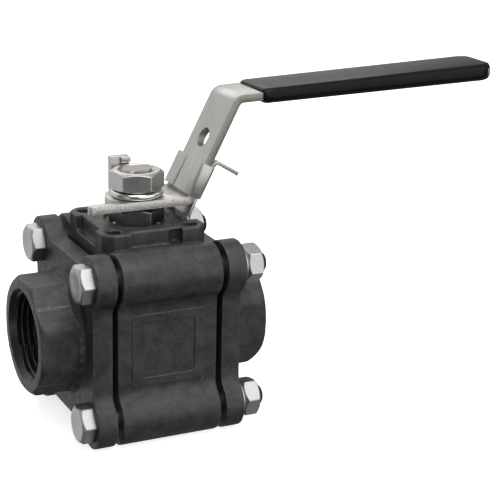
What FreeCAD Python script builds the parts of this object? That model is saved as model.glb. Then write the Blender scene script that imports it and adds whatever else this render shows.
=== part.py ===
import FreeCAD, Part
import math
import os
import re

# Three-piece ball valve, DN25 (1 inch), with an ISO 5211 F04 mounting pad and a lockable lever.
# Origin at the centre of the ball. +X is along the pipe towards the outlet and the handle,
# +Y is to the back, +Z is up along the stem. Millimetres.

V = FreeCAD.Vector
Rotation = FreeCAD.Rotation
Placement = FreeCAD.Placement

SIZES = {
    # castings
    "half_length": 44.6,
    "neck_flats": 41.6,
    "body_half": 19.3,
    "cap_gap": 2.1,
    "flange_thick": 7.4,
    "bolt_offset": 26.5,
    "lobe_radius": 9.9,
    "waist_half": 30.7,
    "bore_radius": 12.5,
    "thread_radius": 15.15,
    "thread_depth": 18.0,
    "thread_chamfer": 2.3,
    "spigot_radius": 24.0,
    "seal_width": 2.4,
    "seal_radius": 22.4,
    "seal_inner": 20.6,
    "lobe_fillet": 5.0,
    "neck_rim": 0.2,
    "neck_turn": 22.5,
    # mounting pad
    "pad_base": 27.0,
    "pad_top": 40.6,
    "pad_half": 20.2,
    "pad_corner_radius": 26.2,
    "pad_circle": 42.0,
    "pad_hole": 5.5,
    "notch_half": 10.0,
    "notch_depth": 2.3,
    "notch_floor": 34.6,
    "pocket_at": 7.9,
    "pocket_round": 2.5,
    "pocket_roof": 0.9,
    "lock_notch_start": 15.5,
    "panel_half": 14.0,
    "panel_rise": 0.5,
    "panel_band": 3.7,
    # ball and seats
    "ball_radius": 19.0,
    "ball_clearance": 0.3,
    "cavity_radius": 20.5,
    "seat_radius": 18.6,
    "seat_inner_face": 10.5,
    "seat_outer_face": 22.0,
    # stem stack
    "stem_radius": 6.0,
    "stem_clearance": 0.3,
    "stem_flats": 9.0,
    "stem_top": 59.2,
    "collar_radius": 8.4,
    "pocket_radius": 9.0,
    "pocket_top": 24.5,
    "packing_radius": 9.4,
    "packing_floor": 28.5,
    "packing_top": 35.4,
    "packing_gap": 0.1,
    "gland_top": 37.8,
    "recess_radius": 12.0,
    "recess_floor": 39.6,
    "gland_nut_flats": 18.0,
    "gland_nut_height": 5.6,
    "gland_nut_turn": 38.5,
    "blade_half": 3.0,
    "blade_gap": 0.2,
    "blade_base": 14.4,
    "blade_radius": 7.0,
    "collar_base": 19.7,
    "collar_height": 3.0,
    "groove_base": 25.2,
    "groove_width": 2.2,
    "o_ring_radius": 1.0,
    "dish_thick": 0.9,
    "dish_gap": 0.3,
    "dish_radius": 9.0,
    "dish_inner": 6.4,
    # body bolts
    "bolt_radius": 4.0,
    "bolt_clearance": 0.5,
    "bolt_flats": 13.0,
    "bolt_turn": 44.0,
    "nut_turn": 9.0,
    "washer_band": 2.4,
    "washer_split": 0.8,
    "bolt_head": 5.0,
    "bolt_end": 39.5,
    "bolt_nut": 6.3,
    "bolt_washer": 2.0,
    # lever
    "lever_thick": 3.0,
    "lever_width": 20.0,
    "lever_under": 46.0,
    "lever_hub_radius": 11.8,
    "leg_tilt": 27.0,
    "leg_foot": 18.04,
    "leg_foot_height": 48.32,
    "bend_radius": 3.5,
    "handle_rise": 1.55,
    "handle_start": 36.3,
    "handle_end": 146.5,
    "lock_hole_radius": 3.8,
    "lock_hole_along": 22.0,
    "arm_reach": 20.6,
    "arm_width": 3.0,
    "ear_start": -6.0,
    "ear_end": 1.2,
    "ear_back": 13.5,
    "ear_bend": 2.2,
    "ear_top": 61.2,
    "lip_start": -2.5,
    "lip_reach": 1.8,
    "lip_thick": 2.0,
    "grip_start": 46.3,
    "grip_end": 150.0,
    "grip_wall": 1.9,
    "grip_side": 1.2,
    "grip_corner": 8.0,
    "grip_edge": 1.9,
    "top_washer": 2.6,
    "top_washer_radius": 9.9,
    "top_nut_flats": 18.0,
    "top_nut_height": 7.2,
    "top_nut_turn": 39.8,
    # locking slide
    "slide_wall": 1.2,
    "slide_clearance": 0.3,
    "slide_low": 0.8,
    "slide_high": 13.6,
    "seam_at": 2.5,
    "seam_width": 0.6,
    "tongue_half": 9.0,
    "tongue_drop": 9.0,
    "tongue_bottom": 40.8,
    "tab_root": 12.4,
    "tab_knee": 28.7,
    "tab_knee_height": 60.7,
    "tab_tip": 37.4,
    "tab_tip_height": 55.3,
    "tab_start": -8.5,
    "tab_width": 3.0,
}

doc = FreeCAD.newDocument("BallValve")
sheet = doc.addObject("Spreadsheet::Sheet", "Sizes")
for row, (alias, value) in enumerate(SIZES.items(), start=1):
    sheet.set("A%d" % row, alias)
    sheet.set("B%d" % row, str(value))
    sheet.setAlias("B%d" % row, alias)
doc.recompute()


def size(alias):
    """Read one driving dimension back from the sheet."""
    return float(getattr(sheet, alias))


def formula(text):
    """Write a formula over the sheet's aliases as a FreeCAD expression."""
    return re.sub(r"[a-z_]+", lambda m: "Sizes." + m.group(0) if m.group(0) in SIZES else m.group(0), text)


def bind(item, **formulas):
    """Bind properties to formulas; x, y and z are the place."""
    for name, text in formulas.items():
        target = "Placement.Base." + name if name in ("x", "y", "z") else name
        item.setExpression(target, formula(str(text)))
    return item


# How a shape made along +Z is turned to lie along each axis
TURNS = {"X": Rotation(V(0, 1, 0), 90), "Y": Rotation(V(1, 0, 0), -90), "Z": Rotation()}


def box(name, x, y, z, length, width, height):
    item = doc.addObject("Part::Box", name)
    return bind(item, Length=length, Width=width, Height=height, x=x, y=y, z=z)


def cylinder(name, axis, radius, height, x=0, y=0, z=0):
    item = doc.addObject("Part::Cylinder", name)
    item.Placement = Placement(V(), TURNS[axis])
    return bind(item, Radius=radius, Height=height, x=x, y=y, z=z)


def cone(name, axis, start_radius, end_radius, height, x=0, y=0, z=0):
    item = doc.addObject("Part::Cone", name)
    item.Placement = Placement(V(), TURNS[axis])
    return bind(item, Radius1=start_radius, Radius2=end_radius, Height=height, x=x, y=y, z=z)


def prism(name, axis, sides, flats, height, turn, x=0, y=0, z=0):
    """Regular prism by its size across flats, turned about its own axis by a named angle."""
    item = doc.addObject("Part::Prism", name)
    item.Polygon = sides
    item.Placement = Placement(V(), TURNS[axis].multiply(Rotation(V(0, 0, 1), size(turn))))
    across_corners = "(%s) / 2 / cos(%s deg)" % (flats, 180.0 / sides)
    return bind(item, Circumradius=across_corners, Height=height, x=x, y=y, z=z)


def sphere(name, radius):
    return bind(doc.addObject("Part::Sphere", name), Radius=radius)


def fuse(name, *items):
    item = doc.addObject("Part::MultiFuse", name)
    item.Shapes = list(items)
    return item


def common(name, *items):
    item = doc.addObject("Part::MultiCommon", name)
    item.Shapes = list(items)
    return item


def cut(name, base, *tools):
    item = doc.addObject("Part::Cut", name)
    item.Base = base
    item.Tool = tools[0] if len(tools) == 1 else fuse(name + "_tools", *tools)
    return item


def mirrored(name, source):
    """The same piece at the other end of the valve."""
    item = doc.addObject("Part::Mirroring", name)
    item.Source = source
    item.Normal = V(1, 0, 0)
    return item


def tube(name, axis, outer, inner, height, **place):
    """Plain ring or sleeve."""
    body = cylinder(name + "_outside", axis, outer, height, **place)
    hole = cylinder(name + "_inside", axis, inner, height, **place)
    return cut(name, body, hole)


# How an outline is stood up, and the way it is pushed out, by the axis across it
OUTLINES = {
    "Y": (Rotation(V(1, 0, 0), 90), V(0, 1, 0)),
    "X": (Rotation(V(0, 1, 0), V(0, 0, 1), V(1, 0, 0), "XYZ"), V(1, 0, 0)),
}


def profile(name, segments, low, high, across="Y"):
    """Outline in the XZ or YZ plane, pushed out between two faces on the axis across it."""
    turn, way = OUTLINES[across]
    sketch = doc.addObject("Sketcher::SketchObject", name + "_outline")
    sketch.Placement = Placement(V(), turn)
    sketch.addGeometry(segments)
    solid = doc.addObject("Part::Extrusion", name)
    solid.Base = sketch
    solid.DirMode = "Custom"
    solid.Dir = way
    solid.Solid = True
    return bind(solid, LengthFwd=high, LengthRev="-(%s)" % low)


def line(start, end):
    return Part.LineSegment(V(*start, 0), V(*end, 0))


def arc(start, middle, end):
    return Part.Arc(V(*start, 0), V(*middle, 0), V(*end, 0))


def bent_strip(corners, thick, radius):
    """Closed outline of a strip of sheet that follows corners, with round bends."""
    points = [V(x, z, 0) for x, z in corners]
    sides = {1: [], -1: []}
    for side in sides:
        start = None
        for index in range(len(points) - 1):
            along = (points[index + 1] - points[index]).normalize()
            across = V(-along.y, along.x, 0) * (side * thick / 2)
            if start is None:
                start = points[0] + across
            if index == len(points) - 2:
                sides[side].append((start, None, points[-1] + across))
                break
            onward = (points[index + 2] - points[index + 1]).normalize()
            turn = along.getAngle(onward)
            reach = radius * math.tan(turn / 2)
            left = 1 if along.cross(onward).z > 0 else -1
            centre = points[index + 1] - along * reach + V(-along.y, along.x, 0) * (left * radius)
            bend = radius - left * side * thick / 2
            first = centre - V(-along.y, along.x, 0) * (left * bend)
            last = centre - V(-onward.y, onward.x, 0) * (left * bend)
            middle = centre + (((first + last) / 2) - centre).normalize() * bend
            sides[side].append((start, (first, middle, last), first))
            start = last
    segments = []
    for side in sides.values():
        for start, bend, end in side:
            segments.append(Part.LineSegment(start, end))
            if bend:
                segments.append(Part.Arc(*bend))
    segments.append(Part.LineSegment(sides[1][0][0], sides[-1][0][0]))
    segments.append(Part.LineSegment(sides[1][-1][2], sides[-1][-1][2]))
    return segments


CORNERS = [(-1, -1), (-1, 1), (1, -1), (1, 1)]


def at_bolts(make, name):
    """One shape on each body bolt's line."""
    made = []
    for number, (side, level) in enumerate(CORNERS, start=1):
        y = "%d * bolt_offset" % side
        z = "%d * bolt_offset" % level
        made.append(make("%s_%d" % (name, number), y, z))
    return made


def lobed_block(name, start, length):
    """Square casting from start along +X, with a round lobe at each bolt. Hollow fillets join lobes and sides."""
    waist = box(name + "_waist", start, "-waist_half", "-waist_half", length,
                "2 * waist_half", "2 * waist_half")
    lobes = at_bolts(lambda n, y, z: cylinder(n, "X", "lobe_radius", length, start, y, z), name + "_lobe")
    out = "(waist_half + lobe_fillet - bolt_offset)"
    reach = "(lobe_radius + lobe_fillet)"
    along = "sqrt(%s ^ 2 - %s ^ 2)" % (reach, out)
    blocks = []
    hollows = []
    for number, (side, level) in enumerate(CORNERS, start=1):
        for way in ("Y", "Z"):
            long = "%s * (1 - lobe_radius / %s)" % (along, reach)
            piece = "%s_fillet_%s_%d" % (name, way, number)
            outer = "lobe_radius * %s / %s" % (out, reach)
            inner = "bolt_offset - " + along
            spans = {way: (side if way == "Y" else level, "bolt_offset", outer),
                     "Z" if way == "Y" else "Y": (level if way == "Y" else side, inner, long)}
            corner = {}
            length_of = {}
            for axis, (sign, near, span) in spans.items():
                corner[axis] = near if sign > 0 else "-(%s) - %s" % (near, span)
                length_of[axis] = span
            blocks.append(box(piece, start, corner["Y"], corner["Z"],
                              length, length_of["Y"], length_of["Z"]))
            centre = {way: "%d * (waist_half + lobe_fillet)" % spans[way][0]}
            other = "Z" if way == "Y" else "Y"
            centre[other] = "%d * (%s)" % (spans[other][0], inner)
            hollows.append(cylinder(piece + "_hollow", "X", "lobe_fillet", length,
                                    start, centre["Y"], centre["Z"]))
    return cut(name, fuse(name + "_solid", waist, *(lobes + blocks)), *hollows)


def bolt_holes(name, start, length):
    return at_bolts(lambda n, y, z: cylinder(n, "X", "bolt_radius + bolt_clearance", length, start, y, z),
                    name)


def body_part():
    block = lobed_block("body_block", "-body_half", "2 * body_half")
    slab = box("pad_slab", "-pad_half", "-pad_half", "pad_base", "2 * pad_half", "2 * pad_half",
               "pad_top - pad_base")
    round_slab = cylinder("pad_round", "Z", "pad_corner_radius", "pad_top - pad_base", z="pad_base")
    pad = common("pad", slab, round_slab)
    frame = box("panel_frame", "-panel_half", "-waist_half - panel_rise", "-panel_half",
                "2 * panel_half", "panel_rise + 1", "2 * panel_half")
    inner = "2 * (panel_half - panel_band)"
    field = box("panel_field", "panel_band - panel_half", "-waist_half - panel_rise - 1",
                "panel_band - panel_half", inner, "panel_rise + 0.5", inner)
    solid = fuse("body_solid", block, pad, cut("panel", frame, field))
    tools = bolt_holes("body_bolt_hole", "-body_half - 1", "2 * body_half + 2")
    tools.append(cylinder("cavity", "X", "cavity_radius", "2 * body_half + 2", x="-body_half - 1"))
    for number, start in enumerate(("-body_half - 1", "body_half - seal_width"), start=1):
        tools.append(cylinder("seal_step_%d" % number, "X", "seal_radius + 0.1", "seal_width + 1", x=start))
    tools.append(cylinder("stem_bore", "Z", "stem_radius + stem_clearance", 40, z=10))
    tools.append(cylinder("thrust_pocket", "Z", "pocket_radius", "pocket_top - 10", z=10))
    tools.append(cylinder("packing_chamber", "Z", "packing_radius", 20, z="packing_floor"))
    tools.append(cylinder("pad_recess", "Z", "recess_radius", 5, z="recess_floor"))
    for number, (side, level) in enumerate(CORNERS, start=1):
        place = {"x": "%d * pad_circle / 2 * cos(45 deg)" % side,
                 "y": "%d * pad_circle / 2 * cos(45 deg)" % level}
        tools.append(cylinder("pad_hole_%d" % number, "Z", "pad_hole / 2", 12, z="pad_top - 10", **place))
    across = "2 * notch_half"
    past = "notch_depth + 2"
    notches = {
        "front": ("-notch_half", "-pad_half - 2", across, past),
        "back": ("-notch_half", "pad_half - notch_depth", across, past),
        "inlet": ("-pad_half - 2", "-notch_half", past, across),
        "lock": ("lock_notch_start", "-notch_half", 10, across),
    }
    for side, (x, y, length, width) in notches.items():
        tools.append(box("notch_" + side, x, y, "notch_floor", length, width, 10))
    tools.append(cylinder("notch_pocket", "Z", "pocket_round", "pad_top - pocket_roof - notch_floor", x="pocket_at",
                          y="notch_depth - pad_half", z="notch_floor"))
    return cut("valve_body", solid, *tools)


def cap_part():
    inner = "-body_half - cap_gap"
    outer = "-body_half - cap_gap - flange_thick"
    neck_length = "half_length - body_half - cap_gap - flange_thick"
    flange = lobed_block("flange", outer, "flange_thick")
    spigot = cylinder("spigot", "X", "spigot_radius", "cap_gap + 1", x="%s - 1" % inner)
    octagon = prism("neck_octagon", "X", 8, "neck_flats", "%s + 1" % neck_length, "neck_turn",
                    x="-half_length")
    rim = cone("neck_rim", "X", "neck_flats / 2 + neck_rim", "neck_flats / 2 + neck_rim + 20", 20,
               x="-half_length")
    neck = common("neck", octagon, rim)
    fillet_ring = cone("neck_root", "X", "neck_flats / 2 + 1", "neck_flats / 2 + 3", 2, x="%s - 2" % outer)
    solid = fuse("cap_solid", flange, spigot, neck, fillet_ring)
    tools = bolt_holes("cap_bolt_hole", "%s - 1" % outer, "flange_thick + 2")
    tools.append(cylinder("cap_bore", "X", "bore_radius", 40, x="-half_length - 1"))
    tools.append(cylinder("cap_thread", "X", "thread_radius", "thread_depth + 1", x="-half_length - 1"))
    tools.append(cone("cap_mouth", "X", "thread_radius + thread_chamfer", "thread_radius", "thread_chamfer",
                      x="-half_length"))
    tools.append(cylinder("seat_pocket", "X", "seat_radius + 0.1", "seat_outer_face - body_half + 1",
                          x="-seat_outer_face"))
    return cut("end_cap_inlet", solid, *tools)


def seat_part():
    ring = tube("seat_ring", "X", "seat_radius", "bore_radius", "seat_outer_face - seat_inner_face",
                x="-seat_outer_face")
    return cut("seat_inlet", ring, sphere("seat_face", "ball_radius + ball_clearance"))


def seal_part():
    return tube("body_seal_inlet", "X", "seal_radius", "seal_inner", "seal_width", x="-body_half")


def ball_part():
    bore = cylinder("ball_bore", "X", "bore_radius", 50, x=-25)
    slot = box("ball_slot", "-blade_half - blade_gap", -25, "blade_base - 2 * blade_gap",
               "2 * (blade_half + blade_gap)", 50, 10)
    return cut("ball", sphere("ball_sphere", "ball_radius"), bore, slot)


def stem_part():
    blade = common("stem_blade",
                   box("blade_block", "-blade_half", "-blade_radius", "blade_base", "2 * blade_half",
                       "2 * blade_radius", "collar_base + 1 - blade_base"),
                   cylinder("blade_round", "Z", "blade_radius", 8, z="blade_base"))
    collar = cylinder("stem_collar", "Z", "collar_radius", "collar_height", z="collar_base")
    shaft = cylinder("stem_shaft", "Z", "stem_radius", "stem_top - collar_base - 1", z="collar_base + 1")
    groove = tube("stem_groove", "Z", "stem_radius + 1", "stem_radius - 2 * o_ring_radius", "groove_width",
                  z="groove_base")
    flat_length = "stem_top - lever_under + 1"
    flats = [
        box("flat_front", -10, "-stem_flats / 2 - 5", "lever_under", 20, 5, flat_length),
        box("flat_back", -10, "stem_flats / 2", "lever_under", 20, 5, flat_length),
    ]
    return cut("stem", fuse("stem_solid", blade, collar, shaft), groove, *flats)


def stem_ring(name):
    """O-ring in the stem's groove."""
    ring = doc.addObject("Part::Torus", name)
    return bind(ring, Radius1="stem_radius - o_ring_radius", Radius2="o_ring_radius",
                z="groove_base + groove_width / 2")


def packing_part():
    step = "(packing_top - packing_floor) / 3"
    rings = [tube("packing_%d" % k, "Z", "packing_radius", "stem_radius + stem_clearance",
                  step + " - packing_gap", z="packing_floor + %d * %s" % (k, step)) for k in range(3)]
    group = doc.addObject("Part::Compound", "stem_packing")
    group.Links = rings
    return group


def disc_springs():
    """Two dished washers, back to back."""
    base = "gland_top + dish_gap"
    lower = cone("dish_lower", "Z", "dish_radius", "dish_inner", "dish_thick - packing_gap", z=base)
    upper = cone("dish_upper", "Z", "dish_inner", "dish_radius", "dish_thick - packing_gap",
                 z=base + " + dish_thick")
    hole = cylinder("dish_hole", "Z", "stem_radius + 0.1", 4, z="gland_top")
    return cut("disc_springs", fuse("dishes", lower, upper), hole)


# The top face of a hexagon's 30 degree chamfer, in half widths across flats, and that chamfer's run per rise
CROWN = 0.95
CROWN_RUN = 1.732


def hex_nut(name, flats, height, hole, turn, z):
    """Hexagon on the stem's axis with its upper corners turned off."""
    reach = "%s / 2 * %s" % (flats, CROWN)
    body = common(name + "_body", prism(name + "_hex", "Z", 6, flats, height, turn, z=z),
                  cone(name + "_top", "Z", "%s + %s * %s" % (reach, height, CROWN_RUN), reach, height, z=z))
    return cut(name, body, cylinder(name + "_hole", "Z", hole, "%s + 2" % height, z="%s - 1" % z))


def bolts_part():
    seat = "-body_half - cap_gap - flange_thick"
    reach = "bolt_flats / 2 * %s" % CROWN

    def one(name, y, z):
        head = prism(name + "_hex", "X", 6, "bolt_flats", "bolt_head", "bolt_turn", y=y, z=z,
                     x="%s - bolt_head" % seat)
        crown = cone(name + "_crown", "X", reach, "%s + bolt_head * %s" % (reach, CROWN_RUN), "bolt_head",
                     y=y, z=z, x="%s - bolt_head" % seat)
        shank = cylinder(name + "_shank", "X", "bolt_radius", "bolt_end - 1 - (%s)" % seat, seat, y, z)
        point = cone(name + "_point", "X", "bolt_radius", "bolt_radius - 1", 1, x="bolt_end - 1", y=y, z=z)
        return fuse(name, common(name + "_head", head, crown), shank, point)

    group = doc.addObject("Part::Compound", "body_bolts")
    group.Links = at_bolts(one, "bolt")
    return group


def nuts_part():
    start = "body_half + cap_gap + flange_thick + bolt_washer"
    reach = "bolt_flats / 2 * %s" % CROWN

    def one(name, y, z):
        body = prism(name + "_hex", "X", 6, "bolt_flats", "bolt_nut", "nut_turn", y=y, z=z, x=start)
        crown = cone(name + "_crown", "X", "%s + bolt_nut * %s" % (reach, CROWN_RUN), reach, "bolt_nut",
                     y=y, z=z, x=start)
        hole = cylinder(name + "_hole", "X", "bolt_radius", "bolt_nut + 2", "%s - 1" % start, y, z)
        return cut(name, common(name + "_body", body, crown), hole)

    group = doc.addObject("Part::Compound", "body_nuts")
    group.Links = at_bolts(one, "nut")
    return group


def bolt_washers_part():
    start = "body_half + cap_gap + flange_thick"

    def one(name, y, z):
        ring = tube(name + "_ring", "X", "bolt_radius + 0.2 + washer_band", "bolt_radius + 0.2",
                    "bolt_washer", x=start, y=y, z=z)
        split = box(name + "_split", start, "%s - washer_split / 2" % y, z,
                    "bolt_washer", "washer_split", 10)
        return cut(name, ring, split)

    group = doc.addObject("Part::Compound", "body_spring_washers")
    group.Links = at_bolts(one, "spring_washer")
    return group


def lever_part():
    thick = size("lever_thick")
    mid = size("lever_under") + thick / 2
    tilt = math.radians(size("leg_tilt"))
    foot = V(size("leg_foot"), size("leg_foot_height"), 0)
    rise = math.tan(math.radians(size("handle_rise")))
    low_x = foot.x + (mid - foot.y) * math.tan(tilt)
    top_x = size("handle_start")
    top_z = foot.y + (top_x - foot.x) / math.tan(tilt)
    end_z = top_z + (size("handle_end") - top_x) * rise
    corners = [(-6, mid), (low_x, mid), (top_x, top_z), (size("handle_end"), end_z)]
    strip = profile("lever_strip", bent_strip(corners, thick, size("bend_radius")),
                    "-lever_width / 2", "lever_width / 2")
    hub = common("lever_hub",
                 cylinder("hub_round", "Z", "lever_hub_radius", "lever_thick", z="lever_under"),
                 box("hub_square", "-lever_hub_radius - 1", "-lever_width / 2", "lever_under",
                     "lever_hub_radius + 5", "lever_width", "lever_thick"))
    arm = box("stop_arm", "-arm_reach", "-lever_width / 2", "lever_under", "arm_reach - 5", "arm_width",
              "lever_thick")
    nose = cylinder("stop_nose", "Z", "arm_width / 2", "lever_thick", x="-arm_reach",
                    y="arm_width / 2 - lever_width / 2", z="lever_under")
    ear_wall = size("ear_back") - thick / 2
    ear_line = [(size("lever_width") / 2 - thick, mid), (ear_wall, mid), (ear_wall, size("ear_top"))]
    ear = profile("ear", bent_strip(ear_line, thick, size("ear_bend")), "ear_start", "ear_end", across="X")
    lip = box("ear_lip", "lip_start", "ear_back - lever_thick - lip_reach", "ear_top - lip_thick",
              "ear_end - lip_start", "lip_reach + 1", "lip_thick")
    solid = fuse("lever_solid", strip, hub, arm, nose, ear, lip)
    stem_hole = common("lever_stem_hole",
                       cylinder("hole_round", "Z", "stem_radius + 0.05", 10, z="lever_under - 2"),
                       box("hole_flats", -8, "-stem_flats / 2 - 0.05", "lever_under - 2", 16,
                           "stem_flats + 0.1", 10))
    padlock = bind(doc.addObject("Part::Cylinder", "padlock_hole"), Radius="lock_hole_radius", Height=10)
    along = size("lock_hole_along")
    centre = V(foot.x + along * math.sin(tilt), 0, foot.y + along * math.cos(tilt))
    outward = V(math.cos(tilt), 0, -math.sin(tilt))
    padlock.Placement = Placement(centre - outward * 5, Rotation(V(0, 0, 1), outward))
    return cut("lever", solid, stem_hole, padlock)


def grip_part():
    tilt = math.radians(size("leg_tilt"))
    top_x = size("handle_start")
    top_z = size("leg_foot_height") + (top_x - size("leg_foot")) / math.tan(tilt)
    rise = size("handle_rise")
    start_z = top_z + (size("grip_start") - top_x) * math.tan(math.radians(rise))
    turn = Rotation(V(0, 1, 0), -rise)
    length = size("grip_end") - size("grip_start")
    wide = size("lever_width") / 2 + size("grip_side")
    deep = size("lever_thick") / 2 + size("grip_wall")
    slab = doc.addObject("Part::Box", "grip_slab")
    bind(slab, Length="grip_end - grip_start", Width="lever_width + 2 * grip_side",
         Height="lever_thick + 2 * grip_wall")
    slab.Placement = Placement(V(size("grip_start"), 0, start_z) + turn.multVec(V(0, -wide, -deep)), turn)
    doc.recompute()
    ends = []
    longs = []
    for number, edge in enumerate(slab.Shape.Edges, start=1):
        local = [turn.inverted().multVec(v.Point - V(size("grip_start"), 0, start_z)) for v in edge.Vertexes]
        if all(abs(p.x - length) < 0.01 for p in local) and abs(local[0].z - local[1].z) > 1:
            ends.append((number, size("grip_corner"), size("grip_corner")))
    rounded = doc.addObject("Part::Fillet", "grip_rounded")
    rounded.Base = slab
    rounded.Edges = ends
    doc.recompute()
    for number, edge in enumerate(rounded.Shape.Edges, start=1):
        local = [turn.inverted().multVec(v.Point - V(size("grip_start"), 0, start_z)) for v in edge.Vertexes]
        level = all(abs(abs(p.z) - deep) < 0.01 for p in local) and abs(local[0].z - local[-1].z) < 0.01
        if level and max(p.x for p in local) > 1:
            longs.append((number, size("grip_edge"), size("grip_edge")))
    soft = doc.addObject("Part::Fillet", "grip_soft")
    soft.Base = rounded
    soft.Edges = longs
    core = doc.addObject("Part::Box", "grip_core")
    bind(core, Length="(handle_end - grip_start) / cos(handle_rise * 1 deg) + 5", Width="lever_width",
         Height="lever_thick")
    half = V(-5, -size("lever_width") / 2, -size("lever_thick") / 2)
    core.Placement = Placement(V(size("grip_start"), 0, start_z) + turn.multVec(half), turn)
    return cut("grip_sleeve", soft, core)


def slide_part():
    tilt = size("leg_tilt")
    wall = size("slide_wall")
    inside = size("lever_thick") / 2 + size("slide_clearance")
    place = Placement(V(size("leg_foot"), 0, size("leg_foot_height")), Rotation(V(0, 1, 0), tilt))

    def leg_box(name, x, y, z, length, width, height):
        """Box in the leg's own frame: x to the back of the leg, z up along it."""
        item = doc.addObject("Part::Box", name)
        bind(item, Length=length, Width=width, Height=height)
        item.Placement = place.multiply(Placement(V(x, y, z), Rotation()))
        return item

    low = size("slide_low")
    half = size("lever_width") / 2 + size("slide_clearance")
    tall = "slide_high - slide_low"
    outside = leg_box("slide_outside", -inside - wall, -half - wall, low,
                      "lever_thick + 2 * (slide_clearance + slide_wall)",
                      "lever_width + 2 * (slide_clearance + slide_wall)", tall)
    hollow = leg_box("slide_hollow", -inside, -half, low - 1, "lever_thick + 2 * slide_clearance",
                     "lever_width + 2 * slide_clearance", tall + " + 2")
    seam = leg_box("slide_seam", -inside - wall - 1, size("seam_at"), low - 1, "slide_wall + 1.2", "seam_width",
                   tall + " + 2")
    sleeve = cut("slide_sleeve", outside, hollow, seam)
    tongue = leg_box("slide_tongue", inside, -size("tongue_half"), -size("tongue_drop"), "slide_wall",
                     "2 * tongue_half", "slide_low + tongue_drop + 1")

    above = box("slide_above_pad", 0, "-lever_width", "tongue_bottom", "2 * lever_width", "2 * lever_width", 40)
    tongue_cut = common("slide_tongue_trim", tongue, above)
    root = place.multVec(V(inside + wall / 2, 0, size("tab_root")))
    knee = (size("tab_knee"), size("tab_knee_height"))
    tip = (size("tab_tip"), size("tab_tip_height"))
    tab = profile("slide_tab", bent_strip([(root.x, root.z), knee, tip], wall, wall), "tab_start",
                  "tab_start + tab_width")
    return fuse("lock_slide", sleeve, tongue_cut, tab)


cap = cap_part()
seat = seat_part()
seal = seal_part()
PARTS = [
    body_part(),
    cap,
    mirrored("end_cap_outlet", cap),
    bolts_part(),
    nuts_part(),
    bolt_washers_part(),
    ball_part(),
    seat,
    mirrored("seat_outlet", seat),
    seal,
    mirrored("body_seal_outlet", seal),
    stem_part(),
    tube("thrust_washer", "Z", "pocket_radius - 0.1", "stem_radius + stem_clearance", 1.5,
         z="pocket_top - 1.5"),
    stem_ring("stem_o_ring"),
    packing_part(),
    tube("gland_ring", "Z", "packing_radius - 0.1", "stem_radius + stem_clearance",
         "gland_top - packing_top - 0.1", z="packing_top + 0.1"),
    disc_springs(),
    hex_nut("gland_nut", "gland_nut_flats", "gland_nut_height", "stem_radius + 0.05",
            "gland_nut_turn", "recess_floor + 0.2"),
    lever_part(),
    tube("spring_washer", "Z", "top_washer_radius", "stem_radius + 0.1", "top_washer",
         z="lever_under + lever_thick"),
    hex_nut("top_nut", "top_nut_flats", "top_nut_height", "stem_radius + 0.05", "top_nut_turn",
            "lever_under + lever_thick + top_washer"),
    grip_part(),
    slide_part(),
]
doc.recompute()

for item in doc.Objects:
    if "Invalid" in item.State or "Error" in item.State:
        raise RuntimeError("%s failed to build" % item.Name)

os.makedirs("parts", exist_ok=True)
for part in PARTS:
    shape = part.Shape
    if shape.isNull() or not shape.isValid():
        raise RuntimeError("%s has no valid shape" % part.Name)
    part.Label = part.Name
    print("%-22s solids %d volume %.1f" % (part.Name, len(shape.Solids), shape.Volume))
    shape.exportStep("parts/%s.step" % part.Label)
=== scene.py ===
import math
import bmesh
import bpy
import numpy as np
from mathutils import Matrix, Vector


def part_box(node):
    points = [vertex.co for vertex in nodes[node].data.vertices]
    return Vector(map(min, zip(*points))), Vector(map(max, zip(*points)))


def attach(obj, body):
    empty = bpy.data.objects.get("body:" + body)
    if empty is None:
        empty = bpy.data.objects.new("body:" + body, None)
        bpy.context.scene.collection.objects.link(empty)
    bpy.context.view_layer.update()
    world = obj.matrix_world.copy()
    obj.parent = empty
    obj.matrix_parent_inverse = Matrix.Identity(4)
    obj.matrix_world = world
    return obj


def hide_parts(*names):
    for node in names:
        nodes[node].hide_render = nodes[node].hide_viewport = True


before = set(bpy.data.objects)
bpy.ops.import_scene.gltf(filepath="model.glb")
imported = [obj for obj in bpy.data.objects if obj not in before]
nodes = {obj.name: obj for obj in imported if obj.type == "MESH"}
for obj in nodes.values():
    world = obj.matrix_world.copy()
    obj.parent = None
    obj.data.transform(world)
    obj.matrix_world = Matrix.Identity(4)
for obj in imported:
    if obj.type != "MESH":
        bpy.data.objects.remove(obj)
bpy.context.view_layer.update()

# Ball valve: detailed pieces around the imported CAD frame. Helpers take millimetres; objects are in metres.
MM = 0.001


def box_mm(node):
    low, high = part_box(node)
    return np.array(low) / MM, np.array(high) / MM


# ------------------------------------------------------------------ materials
class Nodes:
    """Adds nodes to a tree."""

    def __init__(self, owner):
        owner.use_nodes = True
        self.tree = owner.node_tree

    def node(self, kind, **inputs):
        made = self.tree.nodes.new(kind)
        for key, value in inputs.items():
            socket = made.inputs[key.replace("_", " ")] if not key.startswith("n") else made.inputs[int(key[1:])]
            if isinstance(value, bpy.types.NodeSocket):
                self.tree.links.new(value, socket)
            else:
                socket.default_value = value
        return made

    def math(self, operation, first, second):
        made = self.node("ShaderNodeMath", n0=first, n1=second)
        made.operation = operation
        return made.outputs[0]

    def spread(self, value, low, high, start=0.3, end=0.7, kind="LINEAR"):
        made = self.node("ShaderNodeMapRange", Value=value)
        made.interpolation_type = kind
        for name, number in (("From Min", start), ("From Max", end), ("To Min", low), ("To Max", high)):
            made.inputs[name].default_value = number
        return made.outputs["Result"]


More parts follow.
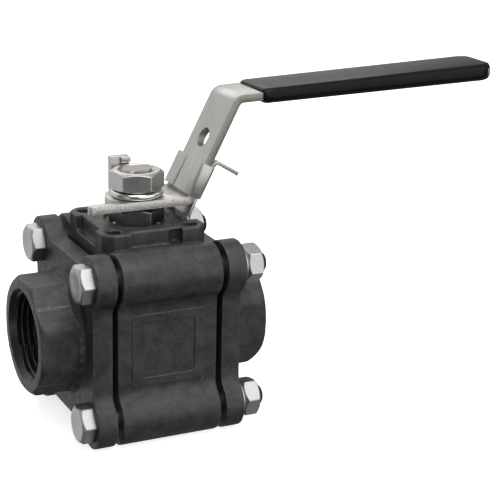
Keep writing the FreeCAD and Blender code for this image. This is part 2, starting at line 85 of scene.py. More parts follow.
class Surface(Nodes):
    """A procedural material on object coordinates, in metres."""

    def __init__(self, name, **values):
        self.material = bpy.data.materials.new(name)
        super().__init__(self.material)
        self.shader = self.tree.nodes["Principled BSDF"]
        self.place = self.node("ShaderNodeTexCoord").outputs["Object"]
        self.bump = None
        for key, value in values.items():
            self.shader.inputs[key.replace("_", " ")].default_value = value

    def noise(self, size_mm, stretch=(1, 1, 1), detail=3.0, rough=0.55):
        """Noise with features of about that size, drawn out along an axis whose stretch is below one."""
        at = self.place
        if tuple(stretch) != (1, 1, 1):
            at = self.node("ShaderNodeMapping", Vector=at, Scale=stretch).outputs["Vector"]
        made = self.node("ShaderNodeTexNoise", Vector=at, Scale=1 / (size_mm * MM), Detail=detail, Roughness=rough)
        return made.outputs["Fac"]

    def ramp(self, value, stops):
        made = self.node("ShaderNodeValToRGB", Fac=value)
        table = made.color_ramp.elements
        while len(table) < len(stops):
            table.new(0.5)
        for entry, (place, colour) in zip(table, stops):
            entry.position = place
            entry.color = (*colour, 1) if hasattr(colour, "__len__") else (colour, colour, colour, 1)
        return made.outputs["Color"]

    def mix(self, amount, first, second):
        made = self.tree.nodes.new("ShaderNodeMix")
        made.data_type = "RGBA"
        for index, value in ((0, amount), (6, first), (7, second)):
            if isinstance(value, bpy.types.NodeSocket):
                self.tree.links.new(value, made.inputs[index])
            else:
                made.inputs[index].default_value = value if index == 0 else (*value, 1)
        return made.outputs[2]

    def colour(self, socket):
        self.tree.links.new(socket, self.shader.inputs["Base Color"])
        return self

    def roughness(self, socket):
        self.tree.links.new(socket, self.shader.inputs["Roughness"])
        return self

    def relief(self, height, depth_mm, strength=1.0):
        """Adds a bump layer of that depth on top of the earlier ones."""
        made = self.node("ShaderNodeBump", Height=height, Strength=strength, Distance=depth_mm * MM)
        if self.bump:
            self.tree.links.new(self.bump, made.inputs["Normal"])
        self.bump = made.outputs["Normal"]
        self.tree.links.new(self.bump, self.shader.inputs["Normal"])
        return self

    def edge_wear_and_highlight(self):
        """How much a point stands out on an edge, 0 to 1: the mask for edge wear and painted edge highlight."""
        pointed = self.node("ShaderNodeNewGeometry").outputs["Pointiness"]
        return self.spread(pointed, 0.0, 1.0, 0.51, 0.58)


def cast_surface(name, dark, light, rough):
    s = Surface(name)
    s.shader.inputs["Specular IOR Level"].default_value = 0.5
    grain = s.noise(0.5, detail=4, rough=0.65)
    cloud = s.noise(6, detail=5, rough=0.65)
    speckle = s.math("ADD", s.math("MULTIPLY", cloud, 0.6), s.math("MULTIPLY", grain, 0.4))
    base = s.ramp(speckle, [(0.40, dark), (0.60, light)])
    # Edges lightened by pointiness: partly edge wear, partly a painted highlight on the rounded edges.
    edge = s.math("MULTIPLY", s.edge_wear_and_highlight(), s.spread(s.noise(1.3, detail=4), 0.15, 1.0))
    s.colour(s.mix(edge, base, (0.11, 0.1085, 0.105)))
    s.roughness(s.spread(s.noise(2.2, detail=4), rough - 0.07, rough + 0.09))
    s.relief(s.noise(2.6, detail=2), 0.12, 0.7)
    s.relief(grain, 0.06, 0.9)
    return s.material


def metal_surface(name, dark, light, rough, grain_mm=0.5, grain_depth=0.008, stretch=(1, 1, 1), spread=0.08):
    """Bare metal with a fine grain, drawn out along any axis whose stretch is below one."""
    s = Surface(name, Metallic=1.0)
    streak = s.noise(grain_mm, stretch, detail=4, rough=0.6)
    cloud = s.noise(4.5, detail=4)
    s.colour(s.mix(s.spread(streak, 0, 1, 0.25, 0.75), dark, light))
    s.roughness(s.spread(s.math("ADD", streak, cloud), rough - spread, rough + spread, 0.7, 1.3))
    s.relief(streak, grain_depth, 0.8)
    return s.material


def sheared_surface():
    """The cut edge of sheet: fine torn streaks across the thickness and small pits; edges above about 50 to 56 mm
    height are darkened as painted shade.
    """
    s = Surface("sheared_edge", Metallic=1.0)
    tear = s.noise(0.55, (1, 1, 0.35), detail=4, rough=0.7)
    pit = s.noise(1.1, detail=5, rough=0.75)
    torn = s.ramp(pit, [(0.3, (0.36, 0.345, 0.315)), (0.48, (0.74, 0.72, 0.67)), (0.7, (0.92, 0.90, 0.86))])
    # Edges darken from 50 mm to 56 mm height and stay dark above: painted shade on the upper sheared edges.
    height = s.node("ShaderNodeSeparateXYZ", Vector=s.place).outputs["Z"]
    s.colour(s.mix(s.spread(height, 0, 1, 0.05, 0.056), torn, (0.38, 0.365, 0.335)))
    s.roughness(s.spread(tear, 0.38, 0.62))
    s.relief(pit, 0.16, 0.9)
    s.relief(tear, 0.08, 0.8)
    return s.material


def vinyl_surface():
    s = Surface("black_vinyl")
    s.shader.inputs["IOR"].default_value = 1.24
    s.colour(s.ramp(s.noise(14, detail=3), [(0.3, (0.004, 0.004, 0.0045)), (0.7, (0.008, 0.008, 0.0085))]))
    s.roughness(s.spread(s.noise(5, detail=4), 0.17, 0.25))
    s.relief(s.noise(9, detail=2), 0.12, 0.5)
    s.relief(s.noise(0.35, detail=2), 0.006, 0.6)
    return s.material


def plastic_surface(name, dark, light, rough):
    s = Surface(name)
    s.colour(s.ramp(s.noise(3), [(0.3, dark), (0.7, light)]))
    s.roughness(s.spread(s.noise(1.2), rough - 0.06, rough + 0.06))
    s.relief(s.noise(0.6), 0.01, 0.6)
    return s.material


CAST = cast_surface("black_casting", (0.014, 0.0138, 0.014), (0.046, 0.0452, 0.0455), 0.46)
BORED = cast_surface("machined_black", (0.012, 0.012, 0.012), (0.02, 0.02, 0.02), 0.26)
ZINC = metal_surface("zinc_bolt", (0.50, 0.50, 0.49), (0.66, 0.66, 0.645), 0.42, 0.8, 0.02)
# A dark copy of the bolt metal: painted shade on the bolt shanks at x > 0.
BOLT_PAINTED_SHADE = metal_surface("bolt_thread", (0.09, 0.09, 0.09), (0.2, 0.195, 0.19), 0.45, 0.6, 0.02)
THREAD = metal_surface("dull_thread", (0.30, 0.28, 0.25), (0.48, 0.455, 0.42), 0.38, 0.5, 0.01)
NUT = metal_surface("stainless", (0.54, 0.535, 0.52), (0.66, 0.655, 0.635), 0.34, 0.6, 0.01)
# A darker copy of the stainless finish: painted shade for the gland nut below the lever.
NUT_PAINTED_SHADE = metal_surface("dark_stainless", (0.16, 0.16, 0.165), (0.24, 0.24, 0.24), 0.34, 0.6, 0.01)
POLISHED = metal_surface("polished_stainless", (0.70, 0.70, 0.69), (0.80, 0.80, 0.785), 0.12, 0.5, 0.002, spread=0.04)
SHEET = metal_surface("brushed_stainless", (0.50, 0.485, 0.455), (0.68, 0.665, 0.635), 0.36, 0.35, 0.012,
                      (0.06, 1, 0.06), 0.09)
EDGE = sheared_surface()
VINYL = vinyl_surface()
PTFE = plastic_surface("white_ptfe", (0.78, 0.78, 0.76), (0.86, 0.86, 0.84), 0.42)
RUBBER = plastic_surface("black_rubber", (0.02, 0.02, 0.02), (0.03, 0.03, 0.03), 0.5)


# ------------------------------------------------------------------ meshes
def mesh_piece(name, points, faces):
    """An object from points in millimetres."""
    mesh = bpy.data.meshes.new(name)
    mesh.from_pydata((np.asarray(points, float) * MM).tolist(), [], faces)
    made = bpy.data.objects.new(name, mesh)
    bpy.context.scene.collection.objects.link(made)
    return made


def skin(rings, closed=False):
    """Points and faces of a skin over rings, each a closed loop of as many points. Open ends are capped."""
    rings = np.asarray(rings, float)
    count, around = rings.shape[:2]
    at = np.arange(count * around).reshape(count, around)
    ahead = np.roll(at, -1, axis=0) if closed else at[1:]
    here = at if closed else at[:-1]
    faces = np.stack([here, np.roll(here, -1, axis=1), np.roll(ahead, -1, axis=1), ahead], axis=-1)
    faces = faces.reshape(-1, 4).tolist()
    if not closed:
        faces += [at[0][::-1].tolist(), at[-1].tolist()]
    return rings.reshape(-1, 3), faces


def joined(parts):
    """Several (points, faces) as one."""
    points, faces, base = [], [], 0
    for some, loops in parts:
        points.append(some)
        faces += [[i + base for i in loop] for loop in loops]
        base += len(some)
    return np.concatenate(points), faces


def tidy_mesh(made, merge=1e-6):
    """Merges doubled points and turns every face outward."""
    bm = bmesh.new()
    bm.from_mesh(made.data)
    bmesh.ops.remove_doubles(bm, verts=bm.verts, dist=merge)
    bmesh.ops.dissolve_degenerate(bm, edges=bm.edges, dist=merge)
    bmesh.ops.recalc_face_normals(bm, faces=bm.faces)
    bm.to_mesh(made.data)
    bm.free()
    return made


def smooth(made, degrees=32):
    """Smooth shading, with edges sharper than that left sharp."""
    made.data.shade_smooth()
    made.data.set_sharp_from_angle(angle=math.radians(degrees))
    return made


def modified(made, kind, **values):
    """Adds a modifier and applies it."""
    modifier = made.modifiers.new(kind.lower(), kind)
    for key, value in values.items():
        setattr(modifier, key, value)
    bpy.context.view_layer.update()
    graph = bpy.context.evaluated_depsgraph_get()
    mesh = bpy.data.meshes.new_from_object(made.evaluated_get(graph), depsgraph=graph)
    made.modifiers.clear()
    old, made.data = made.data, mesh
    mesh.name = made.name
    bpy.data.meshes.remove(old)
    return made


def copy_of(node, name):
    """A piece with a CAD node's shape, with its flat faces whole."""
    made = bpy.data.objects.new(name, nodes[node].data.copy())
    made.data.materials.clear()
    for key in list(made.keys()):
        del made[key]
    bpy.context.scene.collection.objects.link(made)
    bm = bmesh.new()
    bm.from_mesh(made.data)
    bmesh.ops.remove_doubles(bm, verts=bm.verts, dist=2e-6)
    bmesh.ops.dissolve_limit(bm, angle_limit=math.radians(0.5), verts=bm.verts, edges=bm.edges)
    bmesh.ops.recalc_face_normals(bm, faces=bm.faces)
    bm.to_mesh(made.data)
    bm.free()
    return made


def bevelled(made, width_mm, steps=2, degrees=28):
    return modified(made, "BEVEL", width=width_mm * MM, segments=steps, limit_method="ANGLE",
                    angle_limit=math.radians(degrees), use_clamp_overlap=True, miter_outer="MITER_ARC")


def around(count, start=0.0):
    return start + np.arange(count) * 2 * math.pi / count


def turned(profile, angles, axis="Z", centre=(0, 0, 0)):
    """Rings of a turned shape: profile is (along, radius), and a radius may be one number or one for each angle."""
    rings = []
    for along, radius in profile:
        r = np.broadcast_to(np.asarray(radius, float), angles.shape)
        a = np.broadcast_to(np.asarray(along, float), angles.shape)
        u, v = r * np.cos(angles), r * np.sin(angles)
        ring = np.stack([u, v, a] if axis == "Z" else [a, u, v], axis=-1)
        rings.append(ring + np.array(centre))
    return rings


def softened(points, radius, steps=3, closed=True):
    """A polyline with round corners. A point may carry its own radius as a third number."""
    pts = [np.array(p[:2], float) for p in points]
    radii = [p[2] if len(p) > 2 else radius for p in points]
    made = []
    count = len(pts)
    for i in range(count):
        if not closed and i in (0, count - 1):
            made.append(pts[i])
            continue
        before, here, after = pts[i - 1], pts[i], pts[(i + 1) % count]
        a, b = before - here, after - here
        la, lb = np.linalg.norm(a), np.linalg.norm(b)
        a, b = a / la, b / lb
        half = math.acos(np.clip(a @ b, -1, 1)) / 2
        if radii[i] <= 0 or half > math.radians(88):
            made.append(here)
            continue
        reach = min(radii[i] / math.tan(half), la * 0.48, lb * 0.48)
        r = reach * math.tan(half)
        centre = here + (a + b) / np.linalg.norm(a + b) * (r / math.sin(half))
        first, last = here + a * reach - centre, here + b * reach - centre
        sweep = math.acos(np.clip(first @ last / (r * r), -1, 1))
        for k in range(steps + 1):
            t = k / steps
            if sweep < 1e-6:
                made.append(centre + first)
            else:
                arm = first * math.sin((1 - t) * sweep) + last * math.sin(t * sweep)
                made.append(centre + arm / math.sin(sweep))
    return made


HEX_STEPS = 7


def hexagon(flats, turn=0.0, corner=0.985):
    """(angles, radii) round a hexagon whose corners are turned down a little."""
    flat = flats / 2
    limit = flat / math.cos(math.pi / 6) * corner
    edge = math.acos(flat / limit)
    inside = np.linspace(-edge, edge, HEX_STEPS + 2)
    angles, radii = [], []
    for side in range(6):
        middle = math.radians(turn) + side * math.pi / 3
        for a in inside:
            angles.append(middle + a)
            radii.append(flat / math.cos(a))
    return np.array(angles), np.array(radii)


def thread_height(along, angles, pitch, flat=0.14):
    """Height of a thread, 0 at its root and 1 at its crest, at each angle."""
    phase = (along / pitch - angles / (2 * math.pi)) % 1.0
    ridge = 1 - np.abs(phase * 2 - 1)
    return np.clip((ridge - flat) / (1 - 2 * flat), 0, 1)


def hex_rings(flats, height, turn, base=0.0, both=True, crown=0.95, lean=30, bevel=0.14):
    """(along, radius) rings of a chamfered hexagon, and the angles they are at."""
    angles, radii = hexagon(flats, turn)
    rim = flats / 2 * crown
    slope = math.tan(math.radians(lean))
    drop = (radii - rim) * slope
    upper = [(base + height - drop - bevel, radii), (base + height - drop + bevel * slope, radii - bevel),
             (base + height - 0.05, rim + 0.05), (base + height, rim - 0.15)]
    lower = [(2 * base + height - a, r) for a, r in reversed(upper)] if both else [
        (base, rim - 0.1), (base, radii - 0.1), (base + 0.1, radii)]
    return angles, lower + upper


def place(made, body, slot_name, material, *replaced):
    """Rides, stands for its CAD nodes, and takes its finish."""
    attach(made, body)
    if replaced:
        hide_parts(*replaced)
    if material and not made.data.materials:
        made.data.materials.append(material)
    return made


# ------------------------------------------------------------------ castings
VOXEL = 0.42
THREAD_PITCH = 25.4 / 11
THREAD_MINOR, THREAD_MAJOR, MOUTH = 15.15, 16.6, 17.5
THREAD_DEPTH, FLOW_RADIUS, FLOW_START = 18.0, 12.5, 15.0


def softened_casting(node, name, rounds):
    """A CAD copy with its edges rounded by smoothing."""
    made = copy_of(node, name)
    modified(made, "REMESH", mode="VOXEL", voxel_size=VOXEL * MM)
    modified(made, "SMOOTH", factor=0.5, iterations=rounds)
    return made


def reshaped(made, move):
    """Moves a mesh's points, given and returned as rows in millimetres."""
    flat = np.empty(len(made.data.vertices) * 3)
    made.data.vertices.foreach_get("co", flat)
    made.data.vertices.foreach_set("co", (move(flat.reshape(-1, 3) / MM) * MM).ravel())
    made.data.update()


def carve(made, *tools):
    """Takes closed tools out of a piece and removes them."""
    for points, faces in tools:
        tool = tidy_mesh(mesh_piece("tool", points, faces))
        modified(made, "BOOLEAN", object=tool, operation="DIFFERENCE", solver="EXACT")
        bpy.data.objects.remove(tool)
    return made


def cap_bore():
    """The tool that bores an end cap: chamfered mouth, full thread, stop and flow bore."""
    mouth = -box_mm("end_cap_inlet")[0][0]
    angles = around(112)
    profile = [(-mouth - 1.0, MOUTH), (-mouth, MOUTH)]
    steps = 9
    for k in range(int(THREAD_DEPTH / THREAD_PITCH * steps)):
        into = 0.35 + k * THREAD_PITCH / steps
        if into > THREAD_DEPTH - 0.6:
            break
        full = THREAD_MINOR + (THREAD_MAJOR - THREAD_MINOR) * thread_height(into, angles, THREAD_PITCH)
        chamfer = MOUTH - into * 0.8
        profile.append((-mouth + into, np.maximum(full, chamfer)))
    stop = -mouth + THREAD_DEPTH
    profile += [(stop - 0.3, THREAD_MINOR), (stop, THREAD_MINOR - 0.3), (stop + 0.05, FLOW_RADIUS)]
    profile += [(-FLOW_START, FLOW_RADIUS)]
    return skin(turned(profile, angles, "X"))


ROUNDS = 6
NECK_FLATS, NECK_ROOT, NECK_INNER = 41.75, 27.0, 14.0


def neck():
    """The octagon: crisp facets, turned down at the mouth by a cone, its root inside the flange."""
    mouth = box_mm("end_cap_inlet")[0][0] - 0.04
    flat = NECK_FLATS / 2
    inside = np.linspace(-math.pi / 8, math.pi / 8, 15)[:-1]
    angles = np.concatenate([math.pi / 4 * side + inside for side in range(8)])
    corner = flat / math.cos(math.pi / 8) * 0.993
    radii = np.minimum(flat / np.cos(np.concatenate([inside] * 8)), corner)
    rim = flat - 0.1
    drop = (radii - rim) * 1.3
    profile = [(mouth, NECK_INNER), (mouth, rim - 0.4), (mouth + 0.1, rim - 0.15),
               (mouth + np.maximum(drop - 0.1, 0.12), radii - 0.12), (mouth + drop + 0.15, radii),
               (mouth + drop + 0.6, radii), (-NECK_ROOT - 3, radii), (-NECK_ROOT, radii), (-NECK_ROOT, NECK_INNER)]
    return skin(turned(profile, angles, "X"), closed=True)


def joined_solid(made, *parts):
    """Unites closed parts with a piece."""
    for points, faces in parts:
        other = tidy_mesh(mesh_piece("part", points, faces))
        modified(made, "BOOLEAN", object=other, operation="UNION", solver="EXACT")
        bpy.data.objects.remove(other)
    return made


def end_cap():
    cap = softened_casting("end_cap_inlet", "end_cap_inlet_cast", ROUNDS)
    return carve(joined_solid(cap, neck()), cap_bore())


def turned_round(made, name):
    """A copy turned half round about the stem, so that its threads stay right-handed."""
    other = bpy.data.objects.new(name, made.data.copy())
    bpy.context.scene.collection.objects.link(other)
    other.data.transform(Matrix.Rotation(math.pi, 4, "Z"))
    return other


def bore_faces(made, material, radius, inside):
    """Gives a bore's faces the machined finish."""
    made.data.materials.append(CAST)
    made.data.materials.append(material)
    for face in made.data.polygons:
        c = face.center / MM
        if math.hypot(c.y, c.z) < radius and abs(c.x) > inside:
            face.material_index = 1


cap_inlet = end_cap()
bore_faces(cap_inlet, BORED, MOUTH + 0.05, 20)
smooth(cap_inlet, 38)
cap_outlet = turned_round(cap_inlet, "end_cap_outlet_cast")
place(cap_inlet, "valve", "black_casting", None, "end_cap_inlet")
place(cap_outlet, "valve", "black_casting", None, "end_cap_outlet")

WAIST = 30.7
PANEL_OUT, PANEL_IN, PANEL_RISE = 14.0, 10.3, 0.5


def panel_frame():
    """The raised frame on the front, as a closed ring of crisp, slightly drafted section."""
    rings = []
    slope = ((0.0, 0.6), (0.0, -0.02), (0.12, 0.12 - PANEL_RISE), (0.3, -PANEL_RISE), (0.6, -PANEL_RISE))
    section = [(PANEL_OUT - inset, depth) for inset, depth in slope]
    section += [(PANEL_IN + inset, depth) for inset, depth in slope[::-1]]
    for reach, depth in section:
        square = softened([(-reach, -reach), (reach, -reach), (reach, reach), (-reach, reach)], 1.2, 4)
        rings.append([(x, depth - WAIST, z) for x, z in square])
    return skin(rings, closed=True)


def flat_front(at):
    """Levels the front face inside the lobes."""
    at = at.copy()
    on_front = (at[:, 1] < -WAIST + 0.6) & (np.abs(at[:, 0]) < 15.5) & (np.abs(at[:, 2]) < 14.7)
    at[on_front, 1] = -WAIST
    return at


body = softened_casting("valve_body", "valve_body_cast", ROUNDS)
reshaped(body, flat_front)
joined_solid(body, panel_frame())
smooth(body, 40)
place(body, "valve", "black_casting", CAST, "valve_body")


# ------------------------------------------------------------------ body bolts, nuts and washers
BOLT_OFFSET = 26.5
BOLT_AT = [(y, z) for y in (-BOLT_OFFSET, BOLT_OFFSET) for z in (BOLT_OFFSET, -BOLT_OFFSET)]
BOLT_RADIUS, BOLT_PITCH, BOLT_DEPTH = 4.0, 1.25, 0.68
bolt_low, bolt_high = box_mm("body_bolts")
nut_low, nut_high = box_mm("body_nuts")
washer_low, washer_high = box_mm("body_spring_washers")
HEAD_HEIGHT = 5.0


def bolt(y, z, turn):
    head = bolt_low[0]
    angles, rings = hex_rings(13.0, HEAD_HEIGHT, turn, both=False, crown=0.93, lean=38)
    rings = [(head + HEAD_HEIGHT - a, r) for a, r in rings]
    under = head + HEAD_HEIGHT
    profile = [(head + 0.25, 0.05), (head + 0.22, 3.2), (head, 4.0)] + rings[::-1]
    profile += [(under, BOLT_RADIUS + 0.1), (under + 0.2, BOLT_RADIUS)]
    thread_from, tip = 22.0, bolt_high[0]
    profile.append((thread_from - 0.4, BOLT_RADIUS))
    steps = 8
    for k in range(int((tip - thread_from) / BOLT_PITCH * steps)):
        along = thread_from + k * BOLT_PITCH / steps
        full = BOLT_RADIUS - BOLT_DEPTH * (1 - thread_height(along, angles, BOLT_PITCH))
        limit = BOLT_RADIUS - max(0.0, along - (tip - 0.9)) * 1.0
        profile.append((along, np.minimum(full, limit)))
    profile += [(tip, BOLT_RADIUS - 1.0), (tip, 0.05)]
    return skin(turned(profile, angles, "X", (0, y, z)))


def nut(y, z, turn):
    low, high = nut_low[0], nut_high[0]
    angles, rings = hex_rings(13.0, high - low, turn, base=low, crown=0.94, lean=36)
    inner = BOLT_RADIUS - 0.05
    profile = rings + [(high, BOLT_RADIUS + 0.45), (high - 0.5, inner), (low + 0.5, inner), (low, BOLT_RADIUS + 0.45)]
    return skin(turned(profile, angles, "X", (0, y, z)), closed=True)


def split_ring(centre, axis, low, high, inner, outer, gap, start, rise, soft=0.25):
    """A spring washer: a round-edged band that stops short of a full turn, its ends a little apart."""
    section = softened([(low, inner), (high, inner), (high, outer), (low, outer)], soft, 3)
    steps = 64
    rings = []
    for k in range(steps + 1):
        a = start + gap / 2 + (2 * math.pi - gap) * k / steps
        lift = rise * (k / steps - 0.5)
        ring = [(s + lift, r * math.cos(a), r * math.sin(a)) for s, r in section]
        rings.append([np.array(p if axis == "X" else (p[1], p[2], p[0])) + centre for p in ring])
    return skin(rings)


HEAD_TURNS = [27, 25, 33, 40]
NUT_TURNS = [47, 21, 35, 12]
bolts = [bolt(y, z, t) for (y, z), t in zip(BOLT_AT, HEAD_TURNS)]
nuts = [nut(y, z, t) for (y, z), t in zip(BOLT_AT, NUT_TURNS)]
rings = [split_ring((0, y, z), "X", washer_low[0] + 0.15, washer_high[0] - 0.15, 4.2, 6.6, 0.12, 0.7 + k, 0.25)
         for k, (y, z) in enumerate(BOLT_AT)]
for name, group, source in (("body_bolts_m8", bolts, "body_bolts"), ("body_nuts_m8", nuts, "body_nuts"),
                            ("body_lock_washers", rings, "body_spring_washers")):
    made = smooth(tidy_mesh(mesh_piece(name, *joined(group))), 24)
    made.data.materials.append(ZINC)
    made.data.materials.append(BOLT_PAINTED_SHADE)
    for face in made.data.polygons:
        at = face.center / MM
        # Shank and thread faces of the bolts at x > 0 take the painted shade material.
        shank = math.hypot(abs(at.y) - BOLT_OFFSET, abs(at.z) - BOLT_OFFSET) < BOLT_RADIUS + 0.02
        face.material_index = int(source == "body_bolts" and at.x > 0 and shank)
    place(made, "valve", "zinc_bolt", None, source)


# ------------------------------------------------------------------ stem stack
def axis_nut(node, name, turn, material, slot_name, flats=18.0, both=True):
    low, high = box_mm(node)
    angles, rings = hex_rings(flats, high[2] - low[2], turn, base=low[2], both=both)
    inner = 6.1
    profile = rings + [(high[2], inner + 0.95), (high[2] - 0.9, inner),
                       (low[2] + 0.9, inner), (low[2], inner + 0.95)]
    made = mesh_piece(name, *skin(turned(profile, angles), closed=True))
    return place(smooth(tidy_mesh(made), 24), "lever", slot_name, material, node)


def stem_piece():
    top = box_mm("stem")[1][2]
    angles = around(96)
    pitch, depth = 1.5, 0.75
    profile = [(19.7, 0.05), (19.7, 8.1), (20.0, 8.4), (22.4, 8.4), (22.7, 8.1), (22.7, 6.0),
               (25.2, 6.0), (25.3, 4.0), (27.3, 4.0), (27.4, 6.0), (39.0, 6.0)]
    steps = 8
    for k in range(int((top - 39.5) / pitch * steps)):
        along = 39.5 + k * pitch / steps
        full = 6.0 - depth * (1 - thread_height(along, angles, pitch))
        profile.append((along, np.minimum(full, 6.0 - max(0.0, along - (top - 0.8)))))
    profile += [(top - 0.02, 5.15), (top, 4.9), (top - 0.12, 2.0), (top - 0.12, 0.05)]
    rings = np.array(turned(profile, angles))
    flat = 4.5
    above = rings[:, :, 2] > 45.9
    rings[:, :, 1] = np.where(above, np.clip(rings[:, :, 1], -flat, flat), rings[:, :, 1])
    blade = softened([(-3, -7), (3, -7), (3, 7), (-3, 7)], 1.0)
    bar = [[(x, y, z) for x, y in blade] for z in (14.4, 20.2)]
    made = mesh_piece("stem_shaft", *joined([skin(rings), skin(bar)]))
    return place(smooth(tidy_mesh(made), 30), "lever", "stainless", THREAD, "stem")


stem_piece()
axis_nut("top_nut", "top_hex_nut", 9.8, NUT, "stainless")
# The gland nut takes the darkened stainless: painted shade.
axis_nut("gland_nut", "gland_hex_nut", 8.5, NUT_PAINTED_SHADE, "dark_stainless", both=False)
washer_box = box_mm("spring_washer")
washer_ring = split_ring((0, 0, 0), "Z", washer_box[0][2] + 0.15, washer_box[1][2] - 0.15,
                         6.2, 9.85, 0.05, 2.2, 0.3, 0.95)
washer = mesh_piece("top_lock_washer", *washer_ring)
place(smooth(tidy_mesh(washer), 40), "lever", "polished_stainless", POLISHED, "spring_washer")


# ------------------------------------------------------------------ lever
def sheet_finish(made, is_edge):
    made.data.materials.append(SHEET)
    made.data.materials.append(EDGE)
    for face in made.data.polygons:
        face.material_index = 1 if is_edge(face.normal, face.center / MM) else 0


def lever_edge(normal, at):
    in_ear = at.y > 8 and at.x < 2 and at.z > 49.5
    if in_ear:
        return abs(normal.x) > 0.75 or (normal.y < -0.75 and at.y < 8.4)
    if at.z < 49.2 and at.x < 15:
        return abs(normal.z) < 0.7
    return abs(normal.y) > 0.75


lever = bevelled(copy_of("lever", "lever_bar"), 0.3)
sheet_finish(lever, lever_edge)
place(smooth(lever, 40), "lever", "brushed_stainless", None, "lever")

TILT = math.radians(27)
LEG_FOOT = Vector((18.04, 0, 48.32))
leg_frame = Matrix.Translation(LEG_FOOT) @ Matrix.Rotation(TILT, 4, "Y")


def bent(path, thick, radius, steps=5):
    """Closed outline of sheet of that thickness along a polyline, with round bends."""
    path = [np.array(p, float) for p in path]
    sides = []
    for sign in (1, -1):
        line = []
        for i, here in enumerate(path):
            if i == 0:
                d = path[1] - here
            elif i == len(path) - 1:
                d = here - path[-2]
            else:
                d = None
            if d is not None:
                d = d / np.linalg.norm(d)
                line.append(here + np.array([-d[1], d[0]]) * sign * thick / 2)
                continue
            a, b = here - path[i - 1], path[i + 1] - here
            a, b = a / np.linalg.norm(a), b / np.linalg.norm(b)
            turn = math.atan2(a[0] * b[1] - a[1] * b[0], a @ b)
            left = 1 if turn > 0 else -1
            reach = radius * math.tan(abs(turn) / 2)
            centre = here - a * reach + np.array([-a[1], a[0]]) * left * radius
            r = radius - left * sign * thick / 2
            for k in range(steps + 1):
                t = turn * k / steps
                n = -np.array([-a[1], a[0]]) * left
                c, s = math.cos(t), math.sin(t)
                line.append(centre + np.array([n[0] * c - n[1] * s, n[0] * s + n[1] * c]) * r)
        sides.append(line)
    return sides[0] + sides[1][::-1]


def pushed(outline, low, high, to_world):
    """A prism over an outline; to_world turns (u, v, across) into the row frame."""
    rings = [[to_world(u, v, w) for u, v in outline] for w in (low, high)]
    return skin(rings)


def from_leg(x, y, s):
    return tuple(leg_frame @ Vector((x, y, s)))


def slide():
    wall, half, inside = 1.2, 10.9, 2.4
    loop = [(-inside, 3.1), (-inside - 0.25, half), (inside, half), (inside, -half), (-inside, -half), (-inside, 2.5)]
    sleeve = pushed(bent(loop, wall, 0.9), 0.8, 13.6, from_leg)
    foot = (40.9 - LEG_FOOT.z + inside * math.sin(TILT)) / math.cos(TILT)
    near, far = inside - 0.6, inside + 0.6
    tongue = pushed([(near, -9), (far, -9), (far, 9), (near, 9)], foot + 0.35, 1.8, from_leg)
    parts = [sleeve, tongue]
    root = from_leg(inside, 0, 12.4)[::2]
    tab = bent([root, (28.7, 60.7), (37.4, 55.3)], 1.5, 1.2)
    parts.append(pushed(tab, -8.5, -5.5, lambda u, v, w: (u, w, v)))
    return parts


slide_piece = tidy_mesh(mesh_piece("lock_slide_sheet", *joined(slide())))
bevelled(slide_piece, 0.14, 2, 40)
place(smooth(slide_piece, 40), "lock", "brushed_stainless", SHEET, "lock_slide")


HANDLE_RISE, HANDLE_START, GRIP_START = 1.55, 36.3, 46.3


def grip():
    """Dipped vinyl over the handle: rings of a soft rectangle, open towards the leg."""
    rise = math.radians(HANDLE_RISE)
    top_z = LEG_FOOT.z + (HANDLE_START - LEG_FOOT.x) / math.tan(TILT)
    far_end = box_mm("grip_sleeve")[1][0]
    origin = np.array([GRIP_START, 0, top_z + (GRIP_START - HANDLE_START) * math.tan(rise)])
    ahead = np.array([math.cos(rise), 0, math.sin(rise)])
    up = np.array([-math.sin(rise), 0, math.cos(rise)])
    length = (far_end - GRIP_START) / math.cos(rise) - 0.15
    wide, thin, deep, corner = 11.15, 2.85, 3.35, 8.5

    def loop(s, w, d, r=2.4):
        r = min(r, d * 0.95, w * 0.95)
        shape = softened([(-w, -d), (w, -d), (w, d), (-w, d)], r, 7)
        return [origin + ahead * s + np.array([0, 1, 0]) * y + up * z for y, z in shape]

    rings = []
    for s, w, d in ((6.0, 10.0, 1.5), (0.6, 10.0, 1.5), (0.1, 10.2, 1.7), (0.0, 10.5, 2.0),
                    (0.25, 10.85, 2.4), (0.9, 11.05, 2.7), (2.0, wide, thin)):
        rings.append(loop(s, w, d))
    for s in np.linspace(5, length - corner - 1, 16):
        rings.append(loop(s, wide, thin + (deep - thin) * s / length))
    end = 3.6
    for k in range(1, 19):
        t = k / 18 * math.pi / 2
        s = length - corner + corner * math.sin(t)
        w = wide - corner + corner * math.cos(t)
        left = length - s
        d = deep * math.sqrt(max(0.0, 1 - (1 - min(1.0, left / end)) ** 2)) if left < end else deep
        rings.append(loop(s, max(w, 0.5), max(d, 0.15)))
    made = tidy_mesh(mesh_piece("grip_sleeve_vinyl", *skin(rings)))
    return place(smooth(made, 50), "lever", "black_vinyl", VINYL, "grip_sleeve")


grip()

# ------------------------------------------------------------------ CAD nodes that keep their shape
KEPT = {"ball": POLISHED, "seat_inlet": PTFE, "seat_outlet": PTFE, "body_seal_inlet": PTFE, "body_seal_outlet": PTFE,
        "thrust_washer": PTFE, "stem_packing": PTFE, "gland_ring": NUT, "stem_o_ring": RUBBER, "disc_springs": NUT}
for node, material in KEPT.items():
    piece = nodes[node]
    for index in range(len(piece.material_slots)):
        piece.material_slots[index].material = material
    if not piece.material_slots:
        piece.data.materials.append(material)

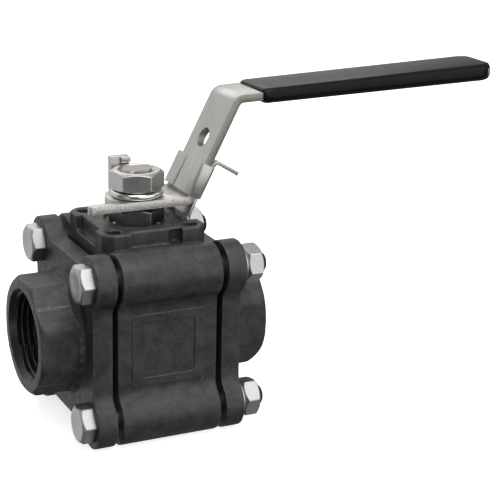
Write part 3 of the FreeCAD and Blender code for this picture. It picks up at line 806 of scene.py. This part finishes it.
# ------------------------------------------------------------------ floor, light, camera
def stage_floor():
    s = Surface("pale_floor")
    s.shader.inputs["Specular IOR Level"].default_value = 0.1
    s.colour(s.ramp(s.noise(60), [(0.3, (0.86, 0.86, 0.86)), (0.7, (0.88, 0.88, 0.88))]))
    s.roughness(s.spread(s.noise(20), 0.85, 0.95))
    s.relief(s.noise(3), 0.02, 0.3)
    s.shader.inputs["Emission Color"].default_value = (1, 1, 1, 1)
    s.shader.inputs["Emission Strength"].default_value = 0.75
    reach, low = 9000.0, -36.5
    corners = [(x * reach, y * reach, low) for x, y in ((-1, -1), (1, -1), (1, 1), (-1, 1))]
    floor = mesh_piece("floor", corners, [[0, 1, 2, 3]])
    floor.data.materials.append(s.material)
    floor.visible_glossy = False
    floor.visible_diffuse = False


def area_light(name, place_m, aim_m, size, power, size_y=None):
    data = bpy.data.lights.new(name, "AREA")
    data.shape = "RECTANGLE"
    data.size, data.size_y = size, size_y or size
    data.energy = power
    made = bpy.data.objects.new(name, data)
    bpy.context.scene.collection.objects.link(made)
    made.location = place_m
    made.rotation_mode = "QUATERNION"
    made.rotation_quaternion = (Vector(aim_m) - Vector(place_m)).to_track_quat("-Z", "Y")
    return made


stage_floor()
AIM = (0.02, 0, 0.02)
area_light("top", (-0.05, -0.35, 1.2), AIM, 1.1, 9)
area_light("front", (-0.1, -1.2, 0.35), AIM, 0.9, 3.6).visible_glossy = False
area_light("back", (0.2, 1.1, 0.8), AIM, 1.2, 2, 0.6)


def studio_world(base, patches):
    """Soft surroundings: brightness by height, plus round patches of (direction, degrees, softness, added)."""
    world = bpy.data.worlds.new("studio")
    bpy.context.scene.world = world
    n = Nodes(world)
    way = n.node("ShaderNodeTexCoord").outputs["Generated"]
    height = n.node("ShaderNodeSeparateXYZ", Vector=way).outputs["Z"]
    ramp = n.node("ShaderNodeValToRGB", Fac=n.spread(height, 0, 1, -1, 1))
    table = ramp.color_ramp.elements
    while len(table) < len(base):
        table.new(0.5)
    for entry, (level, value) in zip(table, base):
        entry.position = (level + 1) / 2
        entry.color = (value, value, value, 1)
    total = ramp.outputs["Color"]
    for direction, degrees, softness, added in patches:
        dot = n.node("ShaderNodeVectorMath", n0=way, n1=Vector(direction).normalized())
        dot.operation = "DOT_PRODUCT"
        outer, inner = (math.cos(math.radians(degrees + side * softness)) for side in (0.5, -0.5))
        amount = n.spread(dot.outputs["Value"], 0, 1, outer, inner, "SMOOTHSTEP")
        total = n.math("ADD", total, n.math("MULTIPLY", amount, added))
    background = world.node_tree.nodes["Background"]
    world.node_tree.links.new(total, background.inputs["Color"])
    background.inputs["Strength"].default_value = 1.0


studio_world(
    [(-1.0, 0.03), (-0.5, 0.12), (-0.2, 0.15), (0.05, 0.14), (0.4, 0.19), (1.0, 0.36)],
    [((-0.30, 0.94, 0.08), 50, 22, 0.52),
     ((0.42, -0.82, 0.383), 38, 14, 1.05),
     ((0.42, 0.0, -0.9), 30, 20, 0.2),
     ((-0.85, -0.42, -0.1), 14, 8, 0.65),
     ((0.12, 0.12, 0.98), 24, 16, 0.35)])

camera_data = bpy.data.cameras.new("camera")
camera = bpy.data.objects.new("camera", camera_data)
bpy.context.scene.collection.objects.link(camera)
bpy.context.scene.camera = camera
camera_data.sensor_width = 36.0
camera_data.lens = 110.15
camera_data.clip_start, camera_data.clip_end = 0.01, 50
AZIMUTH, ELEVATION, ROLL = math.radians(-26.449), math.radians(17.752), math.radians(1.409)
DISTANCE, SHIFT_RIGHT, SHIFT_UP = 578.921, 42.98, 26.27
level = math.cos(ELEVATION)
back = Vector((math.sin(AZIMUTH) * level, -math.cos(AZIMUTH) * level, math.sin(ELEVATION)))
right = Vector((math.cos(AZIMUTH), math.sin(AZIMUTH), 0))
up = back.cross(right)
rolled_right = right * math.cos(ROLL) + up * math.sin(ROLL)
rolled_up = up * math.cos(ROLL) - right * math.sin(ROLL)
turn = Matrix((rolled_right, rolled_up, back)).transposed().to_4x4()
stand = back * DISTANCE + rolled_right * SHIFT_RIGHT + rolled_up * SHIFT_UP
camera.matrix_world = Matrix.Translation(stand * MM) @ turn

bpy.context.scene.view_settings.view_transform = "Standard"
bpy.context.scene.view_settings.look = "None"
